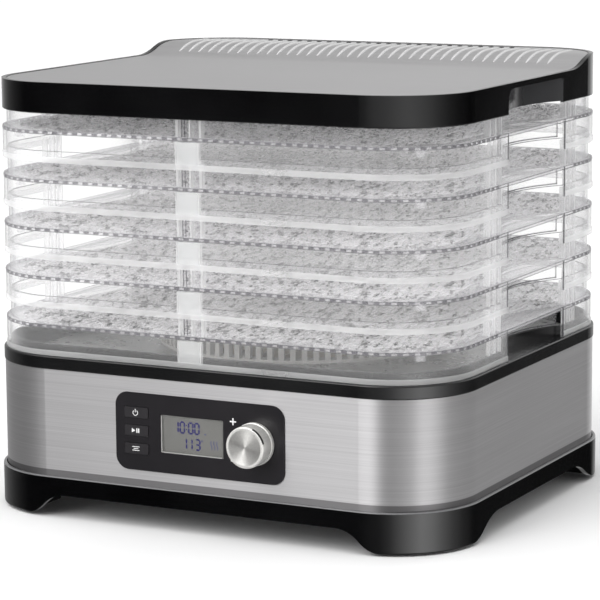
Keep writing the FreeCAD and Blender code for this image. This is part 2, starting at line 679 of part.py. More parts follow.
def under_ramp(drop):
    """Everything below the lid's top surface lowered by drop: flat, then an S-shaped rise to the rear."""
    low = LID_TOP - drop
    rise = s_curve((RAMP_START_Y, low), (RAMP_END_Y, low + RAMP_RISE))
    spans = [(-200.0, low), (RAMP_START_Y, low)] + rise + [(200.0, low + RAMP_RISE), (200.0, 200.0)]
    return profile_prism((-200.0, 200.0), spans, "x", 400.0)


def lid_rim():
    high = LID_TOP + RAMP_RISE + 5
    shell = plan_prism(LID_PLAN, 0, LID_BOTTOM, high)
    shell = soften(shell, LID_BOTTOM, 0.8).common(under_ramp(0))
    hollow = plan_prism(LID_PLAN, LID_WALL, LID_BOTTOM - 1, high)
    hollow = hollow.common(under_ramp(PLATE_DROP + PLATE_THICK + LEDGE_THICK))
    middle = plan_prism(LID_PLAN, LEDGE_INSET, LID_BOTTOM - 1, high)
    seat = plan_prism(LID_PLAN, PLATE_INSET, LID_BOTTOM, high).cut(under_ramp(PLATE_DROP + PLATE_THICK))
    body = shell.cut(fuse_all([hollow, middle, seat]))
    ceiling = LID_TOP - 3.2
    inside = plan_prism(LID_PLAN, 0.5, LID_BOTTOM + 0.8, LID_TOP - PLATE_DROP - PLATE_THICK)
    pocket = inside.common(lid_pockets(LID_WALL, LID_BOTTOM, LID_TOP))
    bosses = [rod(x, y, LINER_BOTTOM + LINER_THICK, LID_TOP - PLATE_DROP - PLATE_THICK - 0.5, 3.6)
              for x, y in LID_BOSSES]
    bosses += [rod(x, y, LID_TOP - 6, LID_TOP + RAMP_RISE - 2.5, 3.6) for x, y in LID_BOSSES if y > 100]
    body = fuse_all([body, pocket] + bosses)
    y0 = GAP_CENTRE_Y - GAP_WIDTH / 2
    y1 = GAP_CENTRE_Y + GAP_WIDTH / 2
    window = box(-200, 200, y0, y1, LID_BOTTOM - 1, ceiling)
    upper = [e for e in window.Edges if abs(e.BoundBox.ZMin - ceiling) < 1e-6 and e.BoundBox.XLength > 100]
    window = window.makeFillet(6.0, upper)
    scoop = lid_pockets(0, LID_BOTTOM - 1, ceiling).common(window)
    body = body.cut(scoop)
    return cut_all(body, [rod(x, y, LINER_BOTTOM, LID_TOP - 4, 1.3) for x, y in LID_BOSSES])


def lid_plate():
    """Brushed plate that follows the raised rear and carries the exhaust holes."""
    high = LID_TOP + RAMP_RISE + 5
    body = plan_prism(LID_PLAN, PLATE_INSET + 0.35, LID_TOP - 3, high)
    body = body.common(under_ramp(PLATE_DROP)).cut(under_ramp(PLATE_DROP + PLATE_THICK))
    first = -VENT_PITCH * (VENT_COUNT - 1) / 2
    holes = [rod(first + i * VENT_PITCH, 122.0, LID_TOP, high, VENT_RADIUS) for i in range(VENT_COUNT)]
    return cut_all(body, holes)


def lid_liner():
    """Inner cover that closes the lid from below, with two windows that pass the damp air."""
    body = plan_prism(LID_PLAN, LID_WALL + 0.3, LINER_BOTTOM, LINER_BOTTOM + LINER_THICK)
    body = body.cut(lid_pockets(LID_WALL + 0.3, LINER_BOTTOM - 1, LINER_BOTTOM + 9))
    windows = [box(x - 45, x + 45, 70, 102, LINER_BOTTOM - 1, LINER_BOTTOM + 3) for x in (-50.0, 50.0)]
    body = cut_all(body, windows)
    return cut_all(body, [rod(x, y, LINER_BOTTOM - 1, LINER_BOTTOM + 4, 1.5) for x, y in LID_BOSSES])


def lid_screws():
    screws = []
    for x, y in LID_BOSSES:
        head = rod(x, y, LINER_BOTTOM - 1.5, LINER_BOTTOM, 2.6)
        shank = rod(x, y, LINER_BOTTOM, LID_TOP - 5, 1.25)
        screws.append(fuse_all([head, shank]))
    return Part.makeCompound(screws)


# ---- write every sub-part ----------------------------------------------------------------------
def write(name, shape):
    shape.translate(vec(0, FRAME_SHIFT_Y, 0))
    shape.exportStep("parts/" + name + ".step")


def main():
    os.makedirs("parts", exist_ok=True)
    makers = [foot_frame, rubber_feet, bottom_plate, bottom_screws, steel_band, base_rim, deck_plate,
              air_outlet_grille, motor_mount, fan_motor, motor_shaft, fan_impeller, fan_nut, motor_screws,
              air_duct, heating_coil, heater_frame, thermostat, thermal_fuse, power_board,
              power_board_parts, cord_gland, control_panel, tact_switches, lcd_window, lcd_module,
              control_pcb, panel_screws, encoder_body, encoder_shaft, control_knob,
              lid_rim, lid_plate, lid_liner, lid_screws]
    for make in makers:
        write(make.__name__, make())
    for name, z in zip(("power_button", "start_button", "set_button"), button_heights()):
        write(name, button(z))
    for blank, tail in ((tray(), ""), (tray_mesh(), "_mesh")):
        for i in range(TRAY_COUNT):
            copy = blank.copy()
            copy.translate(vec(0, 0, RIM_TOP + i * TRAY_PITCH))
            write("tray_" + str(i + 1) + tail, copy)


main()
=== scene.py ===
import math

import bmesh
import bpy
from mathutils import Matrix, Vector


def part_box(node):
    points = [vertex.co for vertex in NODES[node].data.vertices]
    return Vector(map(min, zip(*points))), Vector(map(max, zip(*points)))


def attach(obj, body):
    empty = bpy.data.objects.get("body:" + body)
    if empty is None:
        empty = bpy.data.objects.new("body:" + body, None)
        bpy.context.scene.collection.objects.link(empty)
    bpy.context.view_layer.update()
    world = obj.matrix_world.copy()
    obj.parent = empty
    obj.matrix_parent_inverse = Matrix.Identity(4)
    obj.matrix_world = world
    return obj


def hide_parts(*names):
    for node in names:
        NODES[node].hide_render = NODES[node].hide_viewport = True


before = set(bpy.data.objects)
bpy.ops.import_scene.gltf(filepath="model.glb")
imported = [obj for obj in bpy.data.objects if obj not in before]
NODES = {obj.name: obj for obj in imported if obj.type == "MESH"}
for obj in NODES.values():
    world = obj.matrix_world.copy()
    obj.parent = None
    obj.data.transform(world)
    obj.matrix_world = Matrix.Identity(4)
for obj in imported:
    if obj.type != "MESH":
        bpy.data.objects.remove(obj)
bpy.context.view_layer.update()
MM = 0.001


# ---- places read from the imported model, in mm ---------------------------------------------------
def box_mm(node):
    low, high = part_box(node)
    return [v / MM for v in low], [v / MM for v in high]


def middle(box, axis):
    return (box[0][axis] + box[1][axis]) / 2


CENTRE_Y = middle(box_mm("steel_band"), 1)
TRAY_LEVELS = [box_mm("tray_%d" % (i + 1))[0][2] for i in range(5)]
TRAY_BOX = box_mm("tray_1")
TRAY_W = TRAY_BOX[1][0] - TRAY_BOX[0][0]
TRAY_D = TRAY_BOX[1][1] - TRAY_BOX[0][1]
TRAY_R = 48.5
WALL_TOP = TRAY_BOX[1][2] - TRAY_BOX[0][2]
FOOT_TOP = box_mm("foot_frame")[1][2]
LID_SIDE = box_mm("lid_rim")[1][0]
LID_TOP = box_mm("lid_plate")[1][2]

# tray profile, heights measured from the bottom of the skirt
BEAD = 3.0
PLATE_LOW = 16.3
PLATE_HIGH = 18.5
HANG_LOW = 7.2
WALL_INSET = 3.0
WALL_THICK = 1.6

# finger pockets in the sides: the gap in the skirt, and the shallow arc of the wall behind it
GAP_Y = 6.0
GAP_HALF = 43.5
POCKET_HALF = 47.0
POCKET_DEPTH = 14.0
POCKET_STEPS = 18
POCKET_R = (POCKET_HALF ** 2 + POCKET_DEPTH ** 2) / (2 * POCKET_DEPTH)
POCKET_CX = TRAY_W / 2 - WALL_INSET - POCKET_DEPTH + POCKET_R

# grip recesses in the sides of the lid: half length, depth, and the outer skin that keeps the plain gloss
# colour outside the painted reflection
GRIP_HALF = 42.0
GRIP_DEPTH = 16.0
GRIP_SKIN = 0.35


# ---- mesh helpers -------------------------------------------------------------------------------
def link_object(name, data):
    obj = bpy.data.objects.new(name, data)
    bpy.context.scene.collection.objects.link(obj)
    return obj


def rings(count, n, closed=False):
    """Faces between count rings of n points each; closed also joins the last ring to the first."""
    faces = []
    for i in range(count if closed else count - 1):
        a, b = i * n, (i + 1) % count * n
        faces += [[a + k, a + (k + 1) % n, b + (k + 1) % n, b + k] for k in range(n)]
    return faces


def caps(count, n):
    """Faces that close the first and the last of count rings."""
    return [list(range(n)), list(range(count * n - 1, (count - 1) * n - 1, -1))]


class Build:
    """Collects vertices in mm about the middle of the plan, and turns them into one object."""

    def __init__(self):
        self.verts = []
        self.faces = []
        self.mats = []

    def add(self, verts, faces, mat=0):
        """mat is one material index for all faces, or a list with one for each."""
        start = len(self.verts)
        self.verts += verts
        self.faces += [[start + i for i in face] for face in faces]
        self.mats += mat if isinstance(mat, list) else [mat] * len(faces)

    def block(self, x0, x1, y0, y1, z0, z1, mat):
        verts = [(x, y, z) for z in (z0, z1) for y in (y0, y1) for x in (x0, x1)]
        faces = [(0, 2, 3, 1), (4, 5, 7, 6), (0, 1, 5, 4), (2, 6, 7, 3), (0, 4, 6, 2), (1, 3, 7, 5)]
        self.add(verts, faces, mat)

    def sweep(self, stations, profile, closed, mats, cap_mat=0):
        """Pushes a closed profile of (inset, z) points along stations of (x, y, nx, ny)."""
        n = len(profile)
        count = len(stations)
        faces = rings(count, n, closed)
        face_mats = [mats[i % n] for i in range(len(faces))]
        if not closed:
            faces += caps(count, n)
            face_mats += [cap_mat] * 2
        verts = [(x - nx * d, y - ny * d, z) for x, y, nx, ny in stations for d, z in profile]
        self.add(verts, faces, face_mats)

    def ring_plate(self, outer, inner, z0, z1, mat):
        """Flat plate between two loops of (x, y) points that each go round once."""
        bm = bmesh.new()
        sides = []
        for loop in (outer, inner):
            made = [bm.verts.new((x, y, 0)) for x, y in loop]
            for i, v in enumerate(made):
                bm.edges.new((v, made[(i + 1) % len(made)]))
            sides.append(made)
        bmesh.ops.triangle_fill(bm, use_beauty=True, edges=bm.edges[:])
        bm.verts.index_update()
        flat = [(v.co.x, v.co.y) for v in bm.verts]
        tris = [[v.index for v in f.verts] for f in bm.faces]
        sides = [[v.index for v in made] for made in sides]
        bm.free()
        n = len(flat)
        faces = tris + [[n + i for i in reversed(t)] for t in tris]
        for side in sides:
            faces += [[a, b, n + b, n + a] for a, b in zip(side, side[1:] + side[:1])]
        self.add([(x, y, z) for z in (z0, z1) for x, y in flat], faces, mat)

    def make(self, name, shaders, angle=30):
        """Links the object, smooth except at edges sharper than angle degrees."""
        mesh = bpy.data.meshes.new(name)
        mesh.from_pydata([(x * MM, (y + CENTRE_Y) * MM, z * MM) for x, y, z in self.verts], [], self.faces)
        for shader in shaders:
            mesh.materials.append(shader.mat)
        mesh.polygons.foreach_set("material_index", self.mats)
        bm = bmesh.new()
        bm.from_mesh(mesh)
        bmesh.ops.recalc_face_normals(bm, faces=bm.faces)
        bm.to_mesh(mesh)
        bm.free()
        mesh.polygons.foreach_set("use_smooth", [True] * len(mesh.polygons))
        mesh.set_sharp_from_angle(angle=math.radians(angle))
        return link_object(name, mesh)


def mirrored(side, a, b):
    """The two ends of a span on the +1 or -1 side, in rising order."""
    return sorted((side * a, side * b))


def reach(plan, x):
    """Half depth at x of a rounded rectangle of (width, depth, corner radius)."""
    w, d, r = plan
    past = abs(x) - w / 2 + r
    if past <= 0:
        return d / 2
    return d / 2 - r + math.sqrt(max(r * r - past * past, 0))


def arc(cx, cy, r, a0, a1, n):
    """Stations of (x, y, nx, ny) along an arc, normals outwards."""
    out = []
    for i in range(n + 1):
        a = math.radians(a0 + (a1 - a0) * i / n)
        out.append((cx + r * math.cos(a), cy + r * math.sin(a), math.cos(a), math.sin(a)))
    return out


def corners(plan, rear, n=14):
    """Stations round the two front corners from right to left, or the two rear ones from left to right."""
    w, d, r = plan
    x, y = w / 2 - r, d / 2 - r
    if rear:
        return arc(-x, y, r, 180, 90, n) + arc(x, y, r, 90, 0, n)
    return arc(x, -y, r, 0, -90, n) + arc(-x, -y, r, -90, -180, n)


def plan_half(plan, y, rear, n=14):
    """Stations from one side round the front (or the rear) to the other side, both ends at y."""
    x, side = (-plan[0] / 2, -1) if rear else (plan[0] / 2, 1)
    return [(x, y, side, 0)] + corners(plan, rear, n) + [(-x, y, -side, 0)]


def plan_loop(plan, n=14):
    return plan_half(plan, -20, False, n) + plan_half(plan, 20, True, n)


def pocket_arc(side, half, grow):
    """Stations on a pocket's back, from the front end to the rear end, normals facing out of the tray."""
    r = POCKET_R + grow
    turn = math.degrees(math.asin(half / r))
    out = []
    for i in range(POCKET_STEPS + 1):
        a = math.radians(180 + turn - 2 * turn * i / POCKET_STEPS)
        x = POCKET_CX + r * math.cos(a)
        out.append((side * x, GAP_Y + r * math.sin(a), -side * math.cos(a), -math.sin(a)))
    return out


def wall_loop():
    """Closed stations of the tray's upper wall, with mitred joins at the pockets."""
    plan = (TRAY_W - 2 * WALL_INSET, TRAY_D - 2 * WALL_INSET, TRAY_R - WALL_INSET)

    def join(side, end, pocket):
        straight = Vector((side, 0))
        mitre = (straight + Vector(pocket[2:4])).normalized()
        mitre /= mitre.dot(straight)
        return (side * plan[0] / 2, GAP_Y + end * POCKET_HALF, mitre.x, mitre.y)

    right = pocket_arc(1, POCKET_HALF, 0)
    left = pocket_arc(-1, POCKET_HALF, 0)
    return ([join(1, -1, right[0])] + corners(plan, False) + [join(-1, -1, left[0])] + left[1:-1]
            + [join(-1, 1, left[-1])] + corners(plan, True) + [join(1, 1, right[-1])] + right[-2:0:-1])


# ---- materials ----------------------------------------------------------------------------------
# the part of a noise's values that is spread over a material's colours or roughness
NOISE_RANGE = (0.3, 0.7)


class Nodes:
    """Short calls that build a node tree."""

    def __init__(self, tree):
        self.tree = tree

    def feed(self, socket, value):
        """Links a socket to another one, or sets it to a plain value."""
        if isinstance(value, bpy.types.NodeSocket):
            self.tree.links.new(value, socket)
        else:
            socket.default_value = value

    def node(self, kind, feeds=(), **props):
        n = self.tree.nodes.new("ShaderNode" + kind)
        for key, value in props.items():
            setattr(n, key, value)
        for key, value in dict(feeds).items():
            self.feed(n.inputs[key], value)
        return n

    def math(self, kind, *values, clamp=False):
        return self.node("Math", enumerate(values), operation=kind, use_clamp=clamp).outputs[0]

    def map_range(self, source, span, low, high, kind="LINEAR"):
        """Turns the values of a span into low to high."""
        feeds = {"Value": source, "From Min": span[0], "From Max": span[1], "To Min": low, "To Max": high}
        return self.node("MapRange", feeds, interpolation_type=kind).outputs["Result"]

    def mix(self, share, a, b):
        """Colour a where share is 0, colour b where it is 1."""
        return self.node("Mix", {0: share, 6: a, 7: b}, data_type="RGBA").outputs[2]

    def ramp(self, source, stops):
        """Colour ramp from (position, colour) stops."""
        n = self.node("ValToRGB", {"Fac": source})
        elements = n.color_ramp.elements
        while len(elements) < len(stops):
            elements.new(0.5)
        for element, (at, colour) in zip(elements, stops):
            element.position = at
            element.color = (*colour, 1)
        return n.outputs["Color"]


class Shader(Nodes):
    """A material with a Principled node."""

    def __init__(self, name):
        self.mat = bpy.data.materials.new(name)
        self.mat.use_nodes = True
        super().__init__(self.mat.node_tree)
        self.bsdf = self.tree.nodes["Principled BSDF"]
        self.place = self.node("TexCoord").outputs["Object"]

    def set(self, **values):
        """Feeds the Principled node; an underscore stands for a space in an input's name."""
        for key, value in values.items():
            self.feed(self.bsdf.inputs[key.replace("_", " ")], value)

    def noise(self, scale, detail, stretch=(1, 1, 1), rough=0.5):
        spot = self.node("Mapping", {"Vector": self.place, "Scale": stretch}).outputs["Vector"]
        feeds = {"Vector": spot, "Scale": scale, "Detail": detail, "Roughness": rough}
        return self.node("TexNoise", feeds).outputs["Fac"]

    def waver(self, source, value, spread):
        return self.map_range(source, NOISE_RANGE, value - spread, value + spread)

    def bump(self, height, strength, distance):
        feeds = {"Height": height, "Strength": strength, "Distance": distance}
        self.set(Normal=self.node("Bump", feeds).outputs["Normal"])

    def axes(self):
        return self.node("SeparateXYZ", {"Vector": self.place}).outputs

    def paint_over(self, share, colour):
        """Moves the base colour towards another one by share."""
        below = self.bsdf.inputs["Base Color"].links[0].from_socket
        self.set(Base_Color=self.mix(share, below, (*colour, 1)))

    def paint_level(self, height, colour, above):
        """Another base colour above (or else below) a height in mm."""
        span = ((height - 0.15) * MM, (height + 0.15) * MM)
        low, high = (0.0, 1.0) if above else (1.0, 0.0)
        self.paint_over(self.map_range(self.axes()["Z"], span, low, high, "SMOOTHSTEP"), colour)


def plastic(name, c0, c1, rough, spread=0.04, grain=900.0, bump=0.06, spec=0.5):
    """Plastic that wavers between two colours, with a fine grain."""
    s = Shader(name)
    wide = s.noise(18.0, 3.0)
    s.set(Base_Color=s.ramp(wide, [(NOISE_RANGE[0], c0), (NOISE_RANGE[1], c1)]),
          Roughness=s.waver(wide, rough, spread), Specular_IOR_Level=spec)
    s.bump(s.noise(grain, 3.0), bump, 0.00006)
    return s


def lid_plastic(name, gloss, painted_reflection):
    """Gloss plastic with a painted reflection: a lighter colour inside the two grip recesses at the sides."""
    s = plastic(name, gloss, [c * 2 for c in gloss], 0.14, 0.03, bump=0.02)
    axes = s.axes()
    across = s.math("ABSOLUTE", axes["X"])
    along = s.math("ABSOLUTE", s.math("SUBTRACT", axes["Y"], (CENTRE_Y + GAP_Y) * MM))
    recess = s.math("MULTIPLY", s.math("LESS_THAN", across, (LID_SIDE - GRIP_SKIN) * MM),
                    s.math("LESS_THAN", along, GRIP_HALF * MM))
    recess = s.math("MULTIPLY", recess, s.math("GREATER_THAN", across, (LID_SIDE - GRIP_DEPTH) * MM))
    # painted reflection: the recesses take the lighter colour in place of the light their curved backs
    # reflect
    s.paint_over(recess, painted_reflection)
    return s


def brushed(name, c0, c1, rough, axis, stretch, aniso, turn=0.25, grain=1500.0, bump=0.12, spread=0.07,
            metal=1.0):
    """Brushed metal: lines along the axes with a small stretch, and a shine that turns round axis."""
    s = Shader(name)
    lines = s.noise(grain, 5.0, stretch, 0.65)
    shade = s.math("MULTIPLY_ADD", s.noise(9.0, 2.0), 0.25, lines)
    tangent = s.node("Tangent", direction_type="RADIAL", axis=axis).outputs["Tangent"]
    s.set(Base_Color=s.ramp(shade, [(0.35, c0), (0.9, c1)]), Roughness=s.waver(lines, rough, spread),
          Metallic=metal, Anisotropic=aniso, Anisotropic_Rotation=turn, Tangent=tangent)
    s.bump(lines, bump, 0.00004)
    return s


def clear(name, colour, haze, edge, rough, bump=0.0, spec=0.5, dark=0.96, grain=14.0, hard=0.2, mid=0.5,
          stretch=(1, 1, 1), rim=0.0):
    """Thin clear plastic: lets through what is behind it, and closes up towards grazing angles.

    dark, grain, hard, mid and stretch shape the blotches in its colour. rim is a grey that it takes at
    grazing angles: a painted shade, in place of the dark look that clear plastic takes there.
    """
    s = Shader(name)
    facing = s.node("LayerWeight", {"Blend": 0.5}).outputs["Facing"]
    cloud = s.noise(grain, 2.0, stretch)
    hazy = s.waver(cloud, haze, haze * 0.15)
    alpha = s.math("MULTIPLY_ADD", s.math("POWER", facing, 4.0), edge, hazy, clamp=True)
    dim = [c * dark for c in colour]
    s.set(Base_Color=s.ramp(cloud, [(mid - hard, dim), (mid + hard, colour)]), Alpha=alpha, Roughness=rough,
          Specular_IOR_Level=spec)
    # painted shade: the colour turns towards the rim grey at grazing angles
    if rim:
        s.paint_over(s.math("POWER", facing, 5.0), (rim, rim, rim * 1.05))
    if bump:
        s.bump(s.noise(350.0, 2.0), bump, 0.0002)
    return s


# stretches of the noise that draws brush lines
EVEN = (1.0, 1.0, 1.0)
ALONG_X = (0.01, 1.0, 1.0)

RIM_BLACK = plastic("rim_black", (0.0040, 0.0040, 0.0045), (0.0070, 0.0070, 0.0075), 0.24, bump=0.03,
                    spec=0.6)
# the second colour is the painted reflection inside the grip recesses
LID_BLACK = lid_plastic("lid_black", (0.0010, 0.0010, 0.0012), (0.045, 0.045, 0.047))
FOOT_BLACK = plastic("foot_black", (0.0010, 0.0010, 0.0012), (0.0022, 0.0022, 0.0026), 0.14, 0.03, bump=0.02)
# painted highlight: a grey band over the top 0.7 mm of the foot frame, in place of the light its top edge
# catches
FOOT_BLACK.paint_level(FOOT_TOP - 0.7, (0.16, 0.16, 0.165), True)
SATIN_BLACK = plastic("satin_black", (0.012, 0.012, 0.013), (0.02, 0.02, 0.021), 0.42, 0.06)
RUBBER = plastic("feet_rubber", (0.02, 0.02, 0.02), (0.035, 0.035, 0.035), 0.75, 0.08, bump=0.3)
OUTLET = plastic("outlet_grey", (0.36, 0.35, 0.34), (0.46, 0.45, 0.43), 0.45, 0.05)
PANEL = plastic("panel_black", (0.010, 0.009, 0.011), (0.014, 0.012, 0.015), 0.32, 0.03)
KEY = plastic("button_black", (0.016, 0.014, 0.017), (0.022, 0.020, 0.023), 0.42)
BOARD = plastic("board_green", (0.012, 0.10, 0.035), (0.02, 0.15, 0.055), 0.35, 0.05)
PARTS = plastic("component_dark", (0.03, 0.03, 0.035), (0.06, 0.06, 0.065), 0.5, 0.08)
MICA = plastic("mica_board", (0.42, 0.36, 0.26), (0.58, 0.50, 0.38), 0.55, 0.08, 300.0, 0.3)
FAN = plastic("fan_plastic", (0.06, 0.06, 0.065), (0.1, 0.1, 0.105), 0.45, 0.06)
SCREEN = plastic("lcd_screen", (0.155, 0.155, 0.145), (0.180, 0.180, 0.168), 0.35, 0.03)
DIGIT = plastic("lcd_digit", (0.006, 0.003, 0.11), (0.009, 0.005, 0.14), 0.4, 0.03)
GHOST = plastic("lcd_mark", (0.03, 0.025, 0.16), (0.04, 0.035, 0.20), 0.4, 0.03)
MARK = plastic("panel_mark", (0.78, 0.78, 0.78), (0.86, 0.86, 0.86), 0.45)
BEZEL = plastic("lcd_bezel", (0.42, 0.41, 0.40), (0.52, 0.51, 0.50), 0.3)

STEEL = brushed("brushed_steel_band", (0.52, 0.512, 0.52), (0.67, 0.662, 0.67), 0.42, "Z",
                (0.004, 0.004, 1.0), 0.9, bump=0.08, spread=0.03)
# painted shade: the band turns darker in its lowest 3.6 mm above the foot frame, in place of the shade along
# its lower edge
STEEL.paint_level(FOOT_TOP + 3.6, (0.24, 0.235, 0.24), False)
LID_METAL = brushed("brushed_lid", (0.46, 0.455, 0.46), (0.56, 0.555, 0.56), 0.36, "X", ALONG_X, 0.5, 0.0,
                    bump=0.05, spread=0.03)
# painted highlight: the ribs take a lighter, less metallic colour than the plate, in place of the light lines
# they catch
RIB = brushed("lid_rib", (0.60, 0.60, 0.60), (0.72, 0.72, 0.72), 0.4, "X", ALONG_X, 0.3, 0.0, metal=0.4)
DECK_METAL = brushed("deck_steel", (0.16, 0.165, 0.16), (0.50, 0.50, 0.49), 0.3, "Z", EVEN, 0.2, grain=60.0)
KNOB_SIDE = brushed("knob_side", (0.78, 0.77, 0.74), (0.92, 0.91, 0.88), 0.38, "Y", (1.0, 0.04, 1.0),
                    0.5, 0.0, 900.0, metal=0.5)
KNOB_FACE = brushed("knob_face", (0.72, 0.71, 0.685), (0.88, 0.87, 0.84), 0.36, "Y", EVEN, 0.9, grain=1400.0,
                    metal=0.85)
SCREW = brushed("screw_steel", (0.45, 0.45, 0.45), (0.65, 0.65, 0.65), 0.3, "Z", EVEN, 0.3)
MOTOR = brushed("motor_steel", (0.25, 0.26, 0.28), (0.38, 0.39, 0.41), 0.4, "Z", (0.05, 0.05, 1.0), 0.4)
DUCT = brushed("duct_sheet", (0.42, 0.43, 0.44), (0.62, 0.63, 0.64), 0.35, "Z", EVEN, 0.2, grain=40.0)
COIL = brushed("heater_wire", (0.16, 0.13, 0.11), (0.32, 0.28, 0.25), 0.5, "Z", EVEN, 0.1, grain=300.0)

WINDOW = clear("lcd_glass", (0.6, 0.6, 0.6), 0.03, 0.5, 0.04)
WALL = clear("tray_wall", (0.88, 0.885, 0.90), 0.05, 0.9, 0.05, rim=0.20)
SKIRT = clear("tray_skirt", (0.96, 0.96, 0.965), 0.08, 0.9, 0.06, rim=0.16)
# painted highlight: the bead along the skirt's lower edge, the lines beside the tabs and some ribs take a
# whiter, more opaque clear in place of the light they catch
BEADING = clear("tray_bead", (0.98, 0.98, 0.98), 0.30, 0.4, 0.15)
FROST = clear("tray_frost", (0.84, 0.85, 0.85), 0.30, 0.3, 0.4, 0.3)
EDGE = clear("tray_edge", (0.09, 0.09, 0.10), 0.60, 0.3, 0.06)
DASH = clear("tray_dash", (0.10, 0.095, 0.115), 0.46, 0.3, 0.08)
PLATE = clear("tray_plate", (0.80, 0.79, 0.81), 0.15, 0.5, 0.06)
NET = clear("tray_net", (1.0, 0.99, 1.0), 0.30, 0.40, 0.05, 0.3, 0.8, dark=0.05, grain=300.0, hard=0.03,
            mid=0.43, stretch=(1, 0.35, 1))

PAINT = {
    "foot_frame": FOOT_BLACK, "base_rim": RIM_BLACK, "lid_rim": LID_BLACK, "rubber_feet": RUBBER,
    "bottom_plate": SATIN_BLACK, "cord_gland": SATIN_BLACK, "lid_liner": SATIN_BLACK, "bottom_screws": SCREW,
    "lid_screws": SCREW, "panel_screws": SCREW, "motor_screws": SCREW, "fan_nut": SCREW, "motor_shaft": SCREW,
    "encoder_shaft": SCREW, "steel_band": STEEL, "lid_plate": LID_METAL, "deck_plate": DECK_METAL,
    "air_outlet_grille": OUTLET, "motor_mount": DUCT, "air_duct": DUCT, "fan_motor": MOTOR,
    "thermostat": MOTOR, "encoder_body": MOTOR, "heating_coil": COIL, "heater_frame": MICA,
    "thermal_fuse": PARTS, "power_board_parts": PARTS, "tact_switches": PARTS, "power_board": BOARD,
    "control_pcb": BOARD,
    "control_panel": PANEL, "power_button": KEY, "start_button": KEY, "set_button": KEY, "lcd_window": WINDOW,
    "lcd_module": SCREEN, "fan_impeller": FAN,
}
for node, shader in PAINT.items():
    for material_slot in NODES[node].material_slots:
        material_slot.material = shader.mat


# ---- tray frames --------------------------------------------------------------------------------
TRAY_PLAN = (TRAY_W, TRAY_D, TRAY_R)
TRAY_SHADERS = [SKIRT, BEADING, EDGE, PLATE, DASH, WALL, FROST]
ON_SKIRT, ON_BEAD, ON_EDGE, ON_PLATE, ON_DASH, ON_WALL, ON_FROST = range(7)

# locating tabs at the front and the rear
TAB_X = -5.2
TAB_HALF = 6.6
TAB_LINE = 7.3

# notches in the rim of the floor plate
DASH_PITCH = 6.6

# the field that the mesh fills, and how far it keeps from a pocket's back
FIELD_INSET = WALL_INSET + WALL_THICK + 6
FIELD_PLAN = (TRAY_W - 2 * FIELD_INSET, TRAY_D - 2 * FIELD_INSET, TRAY_R - FIELD_INSET)
FIELD_GROW = 8

# ribs of the upper wall: heights, and insets of the outer and inner faces
RIB_LOW = PLATE_HIGH
RIB_HIGH = WALL_TOP - 1.5
RIB_OUT = WALL_INSET - 0.5
RIB_IN = WALL_INSET + WALL_THICK + 1.5


def walk(stations, step):
    """Stations every step mm along straight runs between the given ones."""
    out = []
    at = 0.0
    for a, b in zip(stations[:-1], stations[1:]):
        length = math.hypot(b[0] - a[0], b[1] - a[1])
        while at < length:
            x, y, nx, ny = (p + (q - p) * (at / length) for p, q in zip(a, b))
            normal = Vector((nx, ny)).normalized()
            out.append((x, y, normal.x, normal.y))
            at += step
        at -= length
    return out


def tray_skirt(b):
    """Outer skirt with a bead along its lower edge, and thin posts where it ends at the side gaps."""
    profile = [(0.3, 0), (2.1, 0), (2.3, 0.2), (2.3, PLATE_LOW + 0.1), (0.5, PLATE_LOW + 0.1),
               (0.5, BEAD + 0.4), (0.15, BEAD), (0, BEAD - 0.3), (0, 0.3)]
    mats = [ON_BEAD] * 2 + [ON_SKIRT] * 3 + [ON_BEAD] * 4
    for y, rear, half in ((GAP_Y - GAP_HALF, False, 0.3), (GAP_Y + GAP_HALF, True, 0.5)):
        b.sweep(plan_half(TRAY_PLAN, y, rear), profile, False, mats, ON_SKIRT)
        for side in (-1, 1):
            x0, x1 = mirrored(side, TRAY_W / 2 - 1.0, TRAY_W / 2 - 0.42)
            b.block(x0, x1, y - half, y + half, 0.2, PLATE_HIGH - 0.2, ON_EDGE)


def tray_floor_rim(b):
    """Rim of the floor plate, with dark notches all round except at the side gaps."""
    quarter = DASH_PITCH / 4
    loop = plan_loop(TRAY_PLAN, 20)
    edge = walk(loop + loop[:1], quarter)
    edge = edge[:len(edge) - len(edge) % 4]
    profile = [(0.5, PLATE_LOW), (4.2, PLATE_LOW), (4.2, PLATE_HIGH), (0.5, PLATE_HIGH),
               (0.45, PLATE_HIGH - 0.5), (0.45, PLATE_LOW + 0.5)]
    b.sweep(edge, profile, True, [ON_PLATE, ON_PLATE, ON_PLATE, ON_EDGE, ON_PLATE, ON_EDGE])
    for x, y, nx, ny in edge[::4]:
        if abs(x) > TRAY_W / 2 - 1 and abs(y - GAP_Y) < GAP_HALF + 12:
            continue
        outline = [(x - nx * d - ny * s * quarter, y - ny * d + nx * s * quarter)
                   for d, s in ((0.40, -1), (0.40, 1), (1.2, 1), (1.2, -1))]
        verts = [(px, py, z) for z in (PLATE_LOW + 0.55, PLATE_HIGH - 0.5) for px, py in outline]
        b.add(verts, caps(2, 4) + rings(2, 4), ON_DASH)


def tray_plate(b):
    """Flat plate between the rim and the mesh field."""
    outer = [(x - nx * 4.15, y - ny * 4.15) for x, y, nx, ny in plan_loop(TRAY_PLAN)]
    half = math.sqrt((POCKET_R + FIELD_GROW) ** 2 - (POCKET_CX - FIELD_PLAN[0] / 2) ** 2)
    inner = (corners(FIELD_PLAN, False) + pocket_arc(-1, half, FIELD_GROW) + corners(FIELD_PLAN, True)
             + pocket_arc(1, half, FIELD_GROW)[::-1])
    b.ring_plate(outer, [p[:2] for p in inner], PLATE_LOW + 0.05, PLATE_HIGH - 0.05, ON_PLATE)


